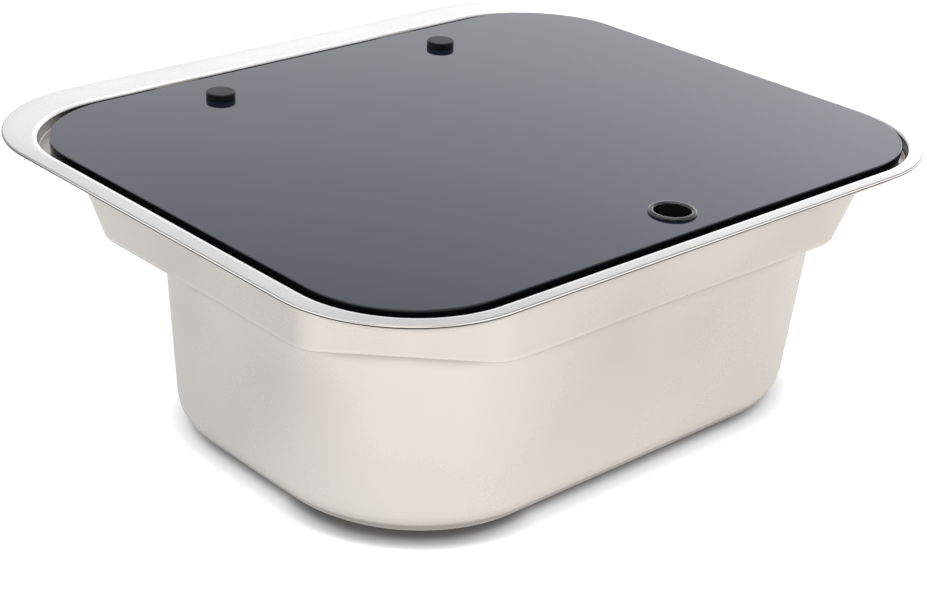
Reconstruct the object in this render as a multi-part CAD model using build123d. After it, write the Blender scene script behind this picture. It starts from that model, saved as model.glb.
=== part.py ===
"""Built-in caravan sink of pressed stainless steel with a hinged black glass lid.

The origin is on the floor under the middle of the rim: +X along the long side,
+Y towards the hinges, +Z up. Lengths are in millimetres, angles in degrees.
"""
from build123d import *
import math
import os

# ---------------------------------------------------------------- driving sizes
# rim and sheet
RIM_LENGTH = 425.0
RIM_WIDTH = 367.0
RIM_CORNER_R = 74.0
RIM_SIDE = 10.7            # rim seen beside the mouth
RIM_FRONT = 8.3
RIM_BACK = 26.7            # wide strip behind the hinges
RIM_FALL = 0.6             # the top slopes outwards by this
RIM_LIP = 2.2              # height of the turned-down edge
RIM_ROLL_R = 1.2
MOUTH_CORNER_R = 63.0
MOUTH_ROLL_R = 2.0
SHEET = 1.0
SINK_HEIGHT = 151.0        # floor of the bowl to the top of the rim

# shallow tray that holds the lid and the rear ledge
TRAY_DEPTH = 41.5
TRAY_NECK = 8.0            # upright part of the wall under the rim
SHOULDER_SIDE = 5.8        # flat step below the neck, as wide as this beside the straight walls
SHOULDER_FRONT = 4.6
SHOULDER_BACK = 6.3
SHOULDER_R = 1.0           # bends of the step, on their inner side
WALL_SPREAD = 8.5          # each wall stands out by this from its foot to its top
TRAY_CHAMFER_X = 67.5
TRAY_CHAMFER_Y = 67.5
TRAY_VERTEX_R = 20.0
TRAY_EDGE_R = 2.5

# bowl
BOWL_STEP = 7.0            # narrow ledge at the sides and the front
REAR_LEDGE = 40.5
BOWL_TOP_R = 105.0
BOWL_FLOOR_R = 80.0
BOWL_SIDE_DRAFT = 7.4
BOWL_FRONT_DRAFT = 7.4
BOWL_BACK_DRAFT = 4.0
BOWL_FLOOR_FILLET = 19.0
BOWL_BROW_R = 2.2          # bend between the ledge and the bowl wall, outer side
DRAIN_R = 26.0
TAP_HOLE_R = 13.5

# glass lid
GLASS_THICKNESS = 5.0
GLASS_RISE = 1.5           # its top stands this far above the rim
GLASS_GAP = 2.8            # to the mouth at the sides and the front
GLASS_BACK_GAP = 8.4       # leaves room for the hinge knuckles
GLASS_ARRIS = 0.4
BOLT_FROM_BACK = 32.0
BOLT_HOLE_R = 5.0
FINGER_HOLE_FROM_FRONT = 21.9
FINGER_HOLE_R = 11.0

# finger grommet
GROMMET_R = 12.4
GROMMET_BORE_R = 9.4
GROMMET_RISE = 1.6
GROMMET_LIP = 2.0
GROMMET_ROUND = 1.1
GROMMET_FIT = 0.1

# rest buffers under the front edge of the glass
BUFFER_X = 100.0
BUFFER_WIDTH = 16.0
BUFFER_REACH = 9.0
BUFFER_GAP = 0.2
BUFFER_ROUND = 1.0

# hinges
HINGE_X = 81.6
PIVOT_BEHIND_GLASS = 4.2
PIVOT_BELOW_GLASS_TOP = 5.2
PIN_R = 1.25
PIN_RUN = 0.05             # radial play of the pin in the leaf
PIN_FIT = 0.02             # radial play of the pin in the bracket
PIN_HEAD_R = 2.4
PIN_HEAD_T = 1.0
PIN_TAIL = 1.6
CLIP_R = 2.8
CLIP_T = 0.6
CLIP_GROOVE_R = 0.9
CLIP_SLOT = 1.8
CLIP_PLAY = 0.05
LEAF_WIDTH = 22.0
LEAF_T = 1.4
LEAF_FRONT = 11.0          # leaf in front of the bolt
PAD_T = 1.4
SPACER_T = 0.8
SPACER_PLAY = 0.1
EAR_T = 1.5
EAR_FOOT = 2.5             # depth of the ear at its lower end
EAR_DEPTH = 5.0            # depth of the ear beside the top of the wall
EAR_DROP = 2.0             # of the ear's front corner below the glass
EAR_ROOM = 0.8             # between the ear and the bend of the step
PLATE_T = 1.5
BEND_R = 1.2               # outer round of the bends between the plate and its ears
PLATE_TOP = 4.5            # down the wall from the step
PLATE_LENGTH = 24.0
SCREW_FIRST = 6.5          # from the top of the plate to the first screw
SCREW_PITCH = 12.0
WALL_FIT = 0.15

# bolt through the glass and what covers it
DISC_R = 6.6
DISC_T = 0.8
CAP_R = 8.15
CAP_T = 3.8
CAP_ROOF = 1.0
CAP_EDGE_R = 0.6
CAP_FIT = 0.15             # the cap snaps over the rim of the disc
BOLT_R = 2.5
BOLT_HEAD_R = 4.6
BOLT_HEAD_T = 1.7
BOLT_SOCKET_AF = 3.0
BOLT_SOCKET_DEPTH = 1.1
BOLT_PLAY = 0.1
BOLT_WASHER_R = 5.0
BOLT_WASHER_T = 1.0
BOLT_NUT_AF = 8.0
BOLT_NUT_T = 4.0
BOLT_END = 1.5
THREAD_FIT = 0.05
BUSH_FIT = 0.05

# screws that hold the brackets to the rear wall
SCREW_R = 2.0
SCREW_PLAY = 0.15
SCREW_HEAD_R = 3.8
SCREW_HEAD_T = 2.2
SCREW_SOCKET_AF = 2.5
SCREW_SOCKET_DEPTH = 1.2
SCREW_WASHER_R = 4.5
SCREW_WASHER_T = 0.8
SCREW_NUT_AF = 7.0
SCREW_NUT_T = 3.2
SCREW_END = 1.2

# ---------------------------------------------------------------- derived places
MOUTH = (-RIM_LENGTH / 2 + RIM_SIDE, RIM_LENGTH / 2 - RIM_SIDE,
         -RIM_WIDTH / 2 + RIM_FRONT, RIM_WIDTH / 2 - RIM_BACK)
GLASS = (MOUTH[0] + GLASS_GAP, MOUTH[1] - GLASS_GAP,
         MOUTH[2] + GLASS_GAP, MOUTH[3] - GLASS_BACK_GAP)
GLASS_CORNER_R = MOUTH_CORNER_R - GLASS_GAP + 0.8
GLASS_TOP = SINK_HEIGHT + GLASS_RISE
GLASS_BOTTOM = GLASS_TOP - GLASS_THICKNESS

LEDGE_UNDER = SINK_HEIGHT - TRAY_DEPTH
LEDGE_TOP = LEDGE_UNDER + SHEET
SHOULDER_UNDER = SINK_HEIGHT - TRAY_NECK
SHOULDER_TOP = SHOULDER_UNDER + SHEET
TRAY_TOP = (MOUTH[0] + SHOULDER_SIDE, MOUTH[1] - SHOULDER_SIDE,
            MOUTH[2] + SHOULDER_FRONT, MOUTH[3] - SHOULDER_BACK)
TRAY_FOOT = (TRAY_TOP[0] + WALL_SPREAD, TRAY_TOP[1] - WALL_SPREAD,
             TRAY_TOP[2] + WALL_SPREAD, TRAY_TOP[3] - WALL_SPREAD)
WALL_LEAN = math.atan2(WALL_SPREAD, SHOULDER_UNDER - LEDGE_UNDER)
WALL_SHIFT = SHEET * (1 / math.cos(WALL_LEAN) - math.tan(WALL_LEAN))
REAR_WALL_Y = TRAY_TOP[3] - WALL_SHIFT
BOWL_TOP = (TRAY_FOOT[0] + BOWL_STEP, TRAY_FOOT[1] - BOWL_STEP,
            TRAY_FOOT[2] + BOWL_STEP, TRAY_FOOT[3] - REAR_LEDGE)
BOWL_FLOOR = tuple(side + sign * LEDGE_UNDER * math.tan(math.radians(draft))
                   for side, sign, draft in zip(
                       BOWL_TOP, (1, -1, 1, -1),
                       (BOWL_SIDE_DRAFT, BOWL_SIDE_DRAFT, BOWL_FRONT_DRAFT, BOWL_BACK_DRAFT)))

PIVOT_Y = GLASS[3] + PIVOT_BEHIND_GLASS
PIVOT_Z = GLASS_TOP - PIVOT_BELOW_GLASS_TOP
LEAF_TOP = GLASS_BOTTOM - PAD_T
LEAF_BOTTOM = LEAF_TOP - LEAF_T
KNUCKLE_R = PIVOT_Z - LEAF_BOTTOM
BOLT_Y = GLASS[3] - BOLT_FROM_BACK
EAR_INNER = LEAF_WIDTH / 2 + SPACER_T + SPACER_PLAY
EAR_OUTER = EAR_INNER + EAR_T
FINGER_Y = GLASS[2] + FINGER_HOLE_FROM_FRONT
DRAIN_Y = (BOWL_FLOOR[2] + BOWL_FLOOR[3]) / 2
TAP_Y = TRAY_FOOT[3] - REAR_LEDGE / 2


# ---------------------------------------------------------------- outlines
def inset(box, distance):
    """Box pulled in by a distance on all four sides."""
    return (box[0] + distance, box[1] - distance, box[2] + distance, box[3] - distance)


def rounded(box, radius, height):
    """Closed wire of a rounded rectangle."""
    x0, x1, y0, y1 = box
    centres = ((x1 - radius, y1 - radius), (x0 + radius, y1 - radius),
               (x0 + radius, y0 + radius), (x1 - radius, y0 + radius))

    def on_arc(quarter, angle):
        turn = math.radians(90.0 * quarter + angle)
        centre = centres[quarter]
        return (centre[0] + radius * math.cos(turn), centre[1] + radius * math.sin(turn), height)

    edges = []
    for quarter in range(4):
        edges.append(Edge.make_three_point_arc(
            on_arc(quarter, 0.0), on_arc(quarter, 45.0), on_arc(quarter, 90.0)))
        edges.append(Edge.make_line(on_arc(quarter, 90.0), on_arc((quarter + 1) % 4, 0.0)))
    return Wire(edges)


def octagon(box, cut_x, cut_y, radius, height):
    """Closed wire of a box with cut corners, each of its eight vertices rounded."""
    x0, x1, y0, y1 = box
    points = [(x1, y1 - cut_y), (x1 - cut_x, y1), (x0 + cut_x, y1), (x0, y1 - cut_y),
              (x0, y0 + cut_y), (x0 + cut_x, y0), (x1 - cut_x, y0), (x1, y0 + cut_y)]
    points = [Vector(x, y, height) for x, y in points]
    arcs = []
    for place, point in enumerate(points):
        back = (points[place - 1] - point).normalized()
        ahead = (points[(place + 1) % 8] - point).normalized()
        half = math.radians(back.get_angle(ahead) / 2)
        inward = (back + ahead).normalized()
        arcs.append((point + back * (radius / math.tan(half)),
                     point + inward * (radius / math.sin(half) - radius),
                     point + ahead * (radius / math.tan(half))))
    edges = []
    for place, arc in enumerate(arcs):
        edges.append(Edge.make_three_point_arc(*arc))
        edges.append(Edge.make_line(arc[2], arcs[(place + 1) % 8][0]))
    return Wire(edges)


def prism(wire, height):
    """Straight upright solid over a closed wire."""
    return extrude(Face(wire), amount=height, dir=(0, 0, 1))


def turned(points):
    """Solid of revolution about Z from closed (radius, height) points."""
    return revolve(make_face(Plane.XZ * Polyline(*points, close=True)), Axis.Z)


def ring(outer, inner, low, high):
    """Plain washer shape between two heights."""
    return turned([(inner, low), (outer, low), (outer, high), (inner, high)])


def hexagon(across_flats, low, high):
    """Six-sided bar between two heights."""
    section = RegularPolygon(across_flats / 2, 6, major_radius=False)
    return extrude(Pos(0, 0, low) * section, amount=high - low)


# ---------------------------------------------------------------- pressed sink
def level_edges(solid, level, box):
    """Edges of a solid at one height whose middles lie in a box."""
    return [edge for edge in solid.edges().filter_by_position(Axis.Z, level - 0.01, level + 0.01)
            if box[0] - 0.1 < edge.center().X < box[1] + 0.1
            and box[2] - 0.1 < edge.center().Y < box[3] + 0.1]


def tray(skin):
    """Neck, step and sloping tray: skin 0 for the outside of the sheet, 1 for its inside."""
    low = LEDGE_UNDER + SHEET * skin
    step = SHOULDER_UNDER + SHEET * skin
    shift = skin * WALL_SHIFT
    slant = math.hypot(TRAY_CHAMFER_X, TRAY_CHAMFER_Y)
    cut_x = TRAY_CHAMFER_X + shift * ((slant - TRAY_CHAMFER_X) / TRAY_CHAMFER_Y - 1)
    cut_y = TRAY_CHAMFER_Y + shift * ((slant - TRAY_CHAMFER_Y) / TRAY_CHAMFER_X - 1)
    vertex_r = TRAY_VERTEX_R - shift
    wall = Solid.make_loft([octagon(inset(TRAY_FOOT, shift), cut_x, cut_y, vertex_r, low),
                            octagon(inset(TRAY_TOP, shift), cut_x, cut_y, vertex_r, step)],
                           ruled=True)
    wall = wall.fillet(TRAY_EDGE_R - SHEET * skin, level_edges(wall, low, TRAY_FOOT))
    room = SHEET * (1 - skin)
    rise = TRAY_NECK - SHEET / 2
    neck = prism(rounded(inset(MOUTH, -room), MOUTH_CORNER_R + room, step), rise)
    neck = fillet(level_edges(neck, step, inset(MOUTH, -room)), SHOULDER_R + room)
    body = Part() + wall + neck
    return fillet(level_edges(body, step, inset(TRAY_TOP, shift)), SHOULDER_R + SHEET * skin)


def bowl(skin):
    """Drafted bowl with a round foot: skin 0 for the outside of the sheet, 1 for its inside."""
    lean = math.radians((BOWL_SIDE_DRAFT + BOWL_FRONT_DRAFT) / 2)
    shift = skin * SHEET * (1 / math.cos(lean) - math.tan(lean))
    low = SHEET * skin
    high = LEDGE_UNDER + SHEET * skin
    floor = rounded(inset(BOWL_FLOOR, shift), BOWL_FLOOR_R - shift, low)
    mouth = rounded(inset(BOWL_TOP, shift), BOWL_TOP_R - shift, high)
    cup = Solid.make_loft([floor, mouth], ruled=True)
    foot = cup.edges().filter_by_position(Axis.Z, low - 0.01, low + 0.01)
    return cup.fillet(BOWL_FLOOR_FILLET - SHEET * skin, foot)


def tub(skin):
    """Tray and bowl together, with the bend between the ledge and the bowl."""
    body = tray(skin) + bowl(skin)
    level = LEDGE_UNDER + SHEET * skin
    return fillet(level_edges(body, level, BOWL_TOP), BOWL_BROW_R + SHEET * skin)


def rim_block(skin):
    """Rim from above, falling slightly outwards; skin 1 gives the hollow under the sheet."""
    edge = inset((-RIM_LENGTH / 2, RIM_LENGTH / 2, -RIM_WIDTH / 2, RIM_WIDTH / 2), SHEET * skin)
    edge_r = RIM_CORNER_R - SHEET * skin
    low = SINK_HEIGHT - RIM_LIP - SHEET * skin
    shoulder = SINK_HEIGHT - RIM_FALL - SHEET * skin
    crown = Solid.make_loft([rounded(edge, edge_r, shoulder),
                             rounded(MOUTH, MOUTH_CORNER_R, SINK_HEIGHT - SHEET * skin)],
                            ruled=True)
    block = prism(rounded(edge, edge_r, low), shoulder - low) + crown
    roll = [piece for piece in block.edges().filter_by_position(
        Axis.Z, shoulder - 0.01, shoulder + 0.01)]
    return fillet(roll, RIM_ROLL_R - (SHEET - 0.2) * skin)


def wall_frame(side):
    """Plane on the inner face of the rear tray wall, its Y pointing up the slope."""
    return Plane(origin=(side * HINGE_X, REAR_WALL_Y, SHOULDER_TOP), x_dir=(1, 0, 0),
                 z_dir=(0, -math.cos(WALL_LEAN), math.sin(WALL_LEAN)))


def up_and_out(y, z):
    """A point seen from the side, as distances up the rear wall and out of it."""
    back = y - REAR_WALL_Y
    rise = z - SHOULDER_TOP
    return (back * math.sin(WALL_LEAN) + rise * math.cos(WALL_LEAN),
            rise * math.sin(WALL_LEAN) - back * math.cos(WALL_LEAN))


def screw_places():
    """Screw centres down the slope below the step."""
    first = -(PLATE_TOP + SCREW_FIRST)
    return (first, first - SCREW_PITCH)


def sink_body():
    body = (rim_block(0) - rim_block(1)) + tub(0)
    body = body - tub(1)
    lip = [edge for edge in body.edges().filter_by_position(
        Axis.Z, SINK_HEIGHT - 0.02, SINK_HEIGHT + 0.02)]
    body = fillet(lip, MOUTH_ROLL_R)
    holes = [Pos(0, DRAIN_Y, 0) * Cylinder(DRAIN_R, 8 * SHEET),
             Pos(0, TAP_Y, LEDGE_TOP) * Cylinder(TAP_HOLE_R, 8 * SHEET)]
    for side in (-1, 1):
        for place in screw_places():
            holes.append(wall_frame(side) * Pos(0, place, 0)
                         * Cylinder(SCREW_R + SCREW_PLAY, 8 * SHEET))
    return body - holes


# ---------------------------------------------------------------- glass lid
def lid_glass():
    plate = prism(rounded(GLASS, GLASS_CORNER_R, GLASS_BOTTOM), GLASS_THICKNESS)
    plate = chamfer(plate.faces().filter_by(Axis.Z).edges(), GLASS_ARRIS)
    middle = GLASS_TOP - GLASS_THICKNESS / 2
    for side in (-1, 1):
        plate -= Pos(side * HINGE_X, BOLT_Y, middle) * Cylinder(BOLT_HOLE_R, 2 * GLASS_THICKNESS)
    plate -= Pos(0, FINGER_Y, middle) * Cylinder(FINGER_HOLE_R, 2 * GLASS_THICKNESS)
    return plate


def pull_grommet():
    """Rubber ring that snaps into the finger hole, its lips above and below the glass."""
    seat = FINGER_HOLE_R - GROMMET_FIT
    top = GLASS_TOP + GROMMET_FIT
    bottom = GLASS_BOTTOM - GROMMET_FIT
    upper = ring(GROMMET_R, GROMMET_BORE_R, top, GLASS_TOP + GROMMET_RISE)
    lower = ring(GROMMET_R, GROMMET_BORE_R, GLASS_BOTTOM - GROMMET_LIP, bottom)
    rims = upper.edges().group_by(Axis.Z)[-1]
    upper = fillet(rims, GROMMET_ROUND)
    lower = fillet(lower.edges().group_by(Axis.Z)[0], GROMMET_ROUND / 2)
    ring_body = upper + lower + ring(seat, GROMMET_BORE_R, bottom, top)
    return Pos(0, FINGER_Y, 0) * ring_body


def rest_buffer(side):
    """Rubber block bonded to the front step, its flat top under the glass."""
    low = SHOULDER_TOP + WALL_FIT
    high = GLASS_BOTTOM - BUFFER_GAP
    depth = BUFFER_REACH - SHOULDER_R - WALL_FIT
    block = Pos(0, MOUTH[2] + BUFFER_REACH - depth / 2, (low + high) / 2) * Box(
        BUFFER_WIDTH, depth, high - low)
    nose = block.edges().filter_by(Axis.X).sort_by(Axis.Y)[-2:]
    return Pos(side * BUFFER_X, 0, 0) * fillet(nose, BUFFER_ROUND)


# ---------------------------------------------------------------- hinge pieces
# Each is drawn at X = 0 with its outer end towards +X.
def clamp_disc():
    """Thin disc that spreads the load of the bolt head on the glass."""
    return Pos(0, BOLT_Y, 0) * ring(DISC_R, BOLT_R + BOLT_PLAY, GLASS_TOP, GLASS_TOP + DISC_T)


def hinge_cap():
    """Snap cap over the disc and the bolt head, a shallow cup turned upside down."""
    high = GLASS_TOP + CAP_T
    inner = DISC_R + CAP_FIT
    cup = turned([(inner, GLASS_TOP), (CAP_R, GLASS_TOP), (CAP_R, high), (0, high),
                  (0, high - CAP_ROOF), (inner, high - CAP_ROOF)])
    rounds = cup.edges().filter_by(GeomType.CIRCLE).sort_by(SortBy.RADIUS)[-2:]
    return Pos(0, BOLT_Y, 0) * fillet(rounds, CAP_EDGE_R)


def lid_bolt():
    seat = GLASS_TOP + DISC_T
    end = LEAF_BOTTOM - BOLT_WASHER_T - BOLT_NUT_T - BOLT_END
    head = ring(BOLT_HEAD_R, 0, seat, seat + BOLT_HEAD_T)
    head = fillet(head.edges().group_by(Axis.Z)[-1], 0.8)
    head -= hexagon(BOLT_SOCKET_AF, seat + BOLT_HEAD_T - BOLT_SOCKET_DEPTH, seat + 2 * BOLT_HEAD_T)
    shank = ring(BOLT_R, 0, end, seat)
    shank = chamfer(shank.edges().group_by(Axis.Z)[0], 0.5)
    return Pos(0, BOLT_Y, 0) * (head + shank)


def glass_bush():
    return Pos(0, BOLT_Y, 0) * ring(BOLT_HOLE_R - BUSH_FIT, BOLT_R + BOLT_PLAY,
                                    GLASS_BOTTOM + BUSH_FIT, GLASS_TOP - BUSH_FIT)


def leaf_outline(end_y):
    """Plan of the leaf: round front, straight sides back to a given place."""
    front = BOLT_Y - LEAF_FRONT
    half = LEAF_WIDTH / 2
    nose = Edge.make_three_point_arc((-half, front + half), (0, front), (half, front + half))
    sides = Polyline((half, front + half), (half, end_y), (-half, end_y), (-half, front + half))
    return make_face([nose] + sides.edges())


def leaf_pad():
    """Rubber sheet between the glass and the leaf, cut off short of the knuckle."""
    end = GLASS[3] - GLASS_ARRIS
    pad = extrude(Pos(0, 0, LEAF_TOP) * leaf_outline(end), amount=PAD_T)
    return pad - Pos(0, BOLT_Y, LEAF_TOP) * Cylinder(BOLT_R + BOLT_PLAY, 4 * PAD_T)


def hinge_leaf():
    """Flat leaf under the glass, its rear edge curled into a knuckle round the pin."""
    plate = extrude(Pos(0, 0, LEAF_BOTTOM) * leaf_outline(PIVOT_Y), amount=LEAF_T)
    curl = Pos(0, PIVOT_Y, PIVOT_Z) * Rot(0, 90, 0) * Cylinder(KNUCKLE_R, LEAF_WIDTH)
    bore = Pos(0, PIVOT_Y, PIVOT_Z) * Rot(0, 90, 0) * Cylinder(PIN_R + PIN_RUN, 2 * LEAF_WIDTH)
    leaf = plate + curl - bore
    return leaf - Pos(0, BOLT_Y, LEAF_BOTTOM) * Cylinder(BOLT_R + BOLT_PLAY, 4 * LEAF_T)


def bolt_washer():
    return Pos(0, BOLT_Y, 0) * ring(BOLT_WASHER_R, BOLT_R + BOLT_PLAY,
                                    LEAF_BOTTOM - BOLT_WASHER_T, LEAF_BOTTOM)


def nut(across_flats, bore, low, high):
    """Hexagon nut with its corners turned down at both ends."""
    corner = across_flats / math.sqrt(3)
    cone = (corner - across_flats / 2) / 2
    blank = turned([(bore, low), (across_flats / 2, low), (corner, low + cone),
                    (corner, high - cone), (across_flats / 2, high), (bore, high)])
    return blank & hexagon(across_flats, low, high)


def bolt_nut():
    high = LEAF_BOTTOM - BOLT_WASHER_T
    return Pos(0, BOLT_Y, 0) * nut(BOLT_NUT_AF, BOLT_R + THREAD_FIT, high - BOLT_NUT_T, high)


def on_pivot(shape):
    """Lay a turned piece along the pivot, its top towards +X."""
    return Pos(0, PIVOT_Y, PIVOT_Z) * Rot(0, 90, 0) * shape


def clip_place():
    """Inner face of the clip, just outside the outer ear."""
    return EAR_OUTER + SPACER_PLAY


def hinge_pin():
    head = -EAR_OUTER - SPACER_PLAY
    groove = clip_place() - CLIP_PLAY
    end = groove + CLIP_T + 2 * CLIP_PLAY + PIN_TAIL
    rod = turned([(0, head - PIN_HEAD_T), (PIN_HEAD_R, head - PIN_HEAD_T), (PIN_HEAD_R, head),
                  (PIN_R, head), (PIN_R, groove), (CLIP_GROOVE_R, groove),
                  (CLIP_GROOVE_R, groove + CLIP_T + 2 * CLIP_PLAY),
                  (PIN_R, groove + CLIP_T + 2 * CLIP_PLAY), (PIN_R, end), (0, end)])
    return on_pivot(rod)


def pin_clip():
    """Open spring clip pushed sideways into the groove of the pin."""
    low = clip_place()
    plate = ring(CLIP_R, CLIP_GROOVE_R + CLIP_PLAY, low, low + CLIP_T)
    slot = Pos(CLIP_R, 0, low) * Box(2 * CLIP_R, CLIP_SLOT, 4 * CLIP_T)
    return on_pivot(plate - slot)


def hinge_spacers():
    """Two plain rings that centre the knuckle between the ears."""
    low = LEAF_WIDTH / 2 + SPACER_PLAY / 2
    one = ring(KNUCKLE_R, PIN_R + PIN_RUN, low, low + SPACER_T)
    other = ring(KNUCKLE_R, PIN_R + PIN_RUN, -low - SPACER_T, -low)
    return [on_pivot(one), on_pivot(other)]


def hinge_bracket():
    """Pressed bracket: a plate on the rear wall, its ears reaching back over the step."""
    pin_v, pin_w = up_and_out(PIVOT_Y, PIVOT_Z)
    face = WALL_FIT + PLATE_T
    foot = -(PLATE_TOP + PLATE_LENGTH)
    nose = up_and_out(REAR_WALL_Y - EAR_DEPTH, GLASS_BOTTOM - EAR_DROP)
    outline = [(pin_v, pin_w), up_and_out(PIVOT_Y - KNUCKLE_R, PIVOT_Z), nose,
               (-PLATE_TOP, nose[1]), (foot, WALL_FIT + EAR_FOOT), (foot, WALL_FIT),
               (-PLATE_TOP, WALL_FIT), (-PLATE_TOP + PLATE_T, face),
               up_and_out(REAR_WALL_Y - EAR_ROOM, PIVOT_Z - KNUCKLE_R),
               up_and_out(PIVOT_Y, PIVOT_Z - KNUCKLE_R)]
    side_plane = Plane(origin=(EAR_INNER, 0, 0), x_dir=(0, 1, 0), z_dir=(1, 0, 0))
    ear = extrude(side_plane * make_face(Polyline(*outline, close=True)), amount=EAR_T)
    eye = Pos(EAR_INNER + EAR_T / 2, pin_v, pin_w) * Rot(0, 90, 0) * Cylinder(KNUCKLE_R, EAR_T)
    ear = ear + eye
    plate = Pos(0, -PLATE_TOP - PLATE_LENGTH / 2, WALL_FIT + PLATE_T / 2) * Box(
        2 * EAR_OUTER, PLATE_LENGTH, PLATE_T)
    body = plate + ear + mirror(ear, about=Plane.YZ)
    outer = [edge for edge in body.edges().filter_by(Axis.Y)
             if abs(abs(edge.center().X) - EAR_OUTER) < 0.01
             and abs(edge.center().Z - WALL_FIT) < 0.01]
    body = fillet(outer, BEND_R)
    body -= Pos(0, pin_v, pin_w) * Rot(0, 90, 0) * Cylinder(PIN_R + PIN_FIT, 4 * EAR_OUTER)
    for place in screw_places():
        body -= Pos(0, place, face) * Cylinder(SCREW_R + SCREW_PLAY, 4 * PLATE_T)
    return Pos(-HINGE_X, 0, 0) * (wall_frame(1) * body)


def on_wall(make):
    """Two copies of a turned piece at the screw places, its Z out of the wall."""
    return [Pos(-HINGE_X, 0, 0) * (wall_frame(1) * Pos(0, place, 0) * make())
            for place in screw_places()]


def bracket_screw():
    seat = WALL_FIT + PLATE_T
    tip = -(SHEET + WALL_FIT + SCREW_WASHER_T + SCREW_NUT_T + SCREW_END)
    head = ring(SCREW_HEAD_R, 0, seat, seat + SCREW_HEAD_T)
    head = fillet(head.edges().group_by(Axis.Z)[-1], 0.8)
    head -= hexagon(SCREW_SOCKET_AF, seat + SCREW_HEAD_T - SCREW_SOCKET_DEPTH,
                    seat + 2 * SCREW_HEAD_T)
    shank = ring(SCREW_R, 0, tip, seat)
    return head + chamfer(shank.edges().group_by(Axis.Z)[0], 0.4)


def bracket_washer():
    high = -(SHEET + WALL_FIT)
    return ring(SCREW_WASHER_R, SCREW_R + SCREW_PLAY, high - SCREW_WASHER_T, high)


def bracket_nut():
    high = -(SHEET + WALL_FIT + SCREW_WASHER_T)
    return nut(SCREW_NUT_AF, SCREW_R + THREAD_FIT, high - SCREW_NUT_T, high)


# ---------------------------------------------------------------- the whole sink
def placed(solids, side):
    """Put the solids of a hinge piece on their side of the sink, outer end outwards."""
    copies = []
    for solid in solids:
        if side < 0:
            solid = mirror(solid, about=Plane.YZ)
        copies.append(Pos(side * HINGE_X, 0, 0) * solid)
    return copies[0] if len(copies) == 1 else Compound(children=copies)


HINGE_PIECES = {
    "hinge_cap": [hinge_cap()],
    "clamp_disc": [clamp_disc()],
    "lid_bolt": [lid_bolt()],
    "glass_bush": [glass_bush()],
    "leaf_pad": [leaf_pad()],
    "hinge_leaf": [hinge_leaf()],
    "bolt_washer": [bolt_washer()],
    "bolt_nut": [bolt_nut()],
    "hinge_pin": [hinge_pin()],
    "pin_clip": [pin_clip()],
    "hinge_spacers": hinge_spacers(),
    "hinge_bracket": [hinge_bracket()],
    "bracket_screws": on_wall(bracket_screw),
    "bracket_washers": on_wall(bracket_washer),
    "bracket_nuts": on_wall(bracket_nut),
}

pieces = {
    "sink_body": sink_body(),
    "lid_glass": lid_glass(),
    "pull_grommet": pull_grommet(),
    "rest_buffer_left": rest_buffer(-1),
    "rest_buffer_right": rest_buffer(1),
}
for name, solids in HINGE_PIECES.items():
    pieces[name + "_left"] = placed(solids, -1)
    pieces[name + "_right"] = placed(solids, 1)

os.makedirs("parts", exist_ok=True)
for name, shape in pieces.items():
    export_step(shape, f"parts/{name}.step")
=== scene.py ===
"""Caravan sink of pressed stainless steel with a hinged black glass lid, dressed for its looks."""
import bpy
import bmesh
import math
from mathutils import Matrix, Vector


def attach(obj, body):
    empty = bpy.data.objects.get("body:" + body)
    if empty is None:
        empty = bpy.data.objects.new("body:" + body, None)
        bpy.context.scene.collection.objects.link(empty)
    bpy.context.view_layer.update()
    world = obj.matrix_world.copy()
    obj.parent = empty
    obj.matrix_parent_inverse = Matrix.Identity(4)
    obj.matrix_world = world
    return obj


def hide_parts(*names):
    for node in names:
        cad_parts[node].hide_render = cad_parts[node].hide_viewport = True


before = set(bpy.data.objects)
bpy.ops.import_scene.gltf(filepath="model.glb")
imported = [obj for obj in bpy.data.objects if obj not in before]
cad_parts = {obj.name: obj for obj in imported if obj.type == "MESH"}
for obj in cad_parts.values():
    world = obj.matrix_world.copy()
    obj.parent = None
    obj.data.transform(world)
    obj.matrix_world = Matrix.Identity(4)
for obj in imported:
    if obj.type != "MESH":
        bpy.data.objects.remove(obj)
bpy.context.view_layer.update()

MM = 0.001
SHEET = 1.0
RIM_TOP = 151.0
RIM = (-212.5, 212.5, -183.5, 183.5)
RIM_R = 74.0
RIM_FALL = 0.6
RIM_LIP = 2.2
MOUTH = (-201.8, 201.8, -175.2, 156.8)
MOUTH_R = 63.0
MOUTH_ROLL_R = 2.0
STEP_UNDER = 143.0
LEDGE_UNDER = 109.5
TRAY_TOP = (-196.0, 196.0, -170.6, 150.5)
TRAY_FOOT = (-187.5, 187.5, -162.1, 142.0)
TRAY_CUT = (67.5, 67.5)
TRAY_VERTEX_R = 20.0
BOWL_TOP = (-180.5, 180.5, -155.1, 101.5)
BOWL_TOP_R = 105.0
BOWL_FLOOR = (-166.279, 166.279, -140.879, 93.843)
BOWL_FLOOR_R = 80.0
BOWL_FILLET = 19.0
BOWL_DRAFT = 7.4
DRAIN = (0.0, -23.518)
DRAIN_R = 26.0
TAP = (0.0, 121.75)
TAP_R = 13.5
GLASS = (-199.0, 199.0, -172.4, 148.4)
GLASS_R = 61.0
GLASS_TOP = 152.5
GLASS_BOTTOM = 147.5
HINGE_X = 81.6
BOLT_Y = 116.4
BOLT_HOLE_R = 5.0
FINGER_Y = -150.5
FINGER_HOLE_R = 11.0
THROUGH_GLASS = 12.0
THROUGH_SHEET = 8.0
SCREW_HOLE_R = 2.15
SCREWS_DOWN = (11.0, 23.0)
GROMMET_R = 12.4
GROMMET_BORE_R = 9.4
CAP_R = 8.15
CAP_BORE_R = 6.75
CAP_HEIGHT = 3.8
CAP_ROOF = 1.0
WALL_LEAN = math.degrees(math.atan2(TRAY_TOP[1] - TRAY_FOOT[1], STEP_UNDER - LEDGE_UNDER))


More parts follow.
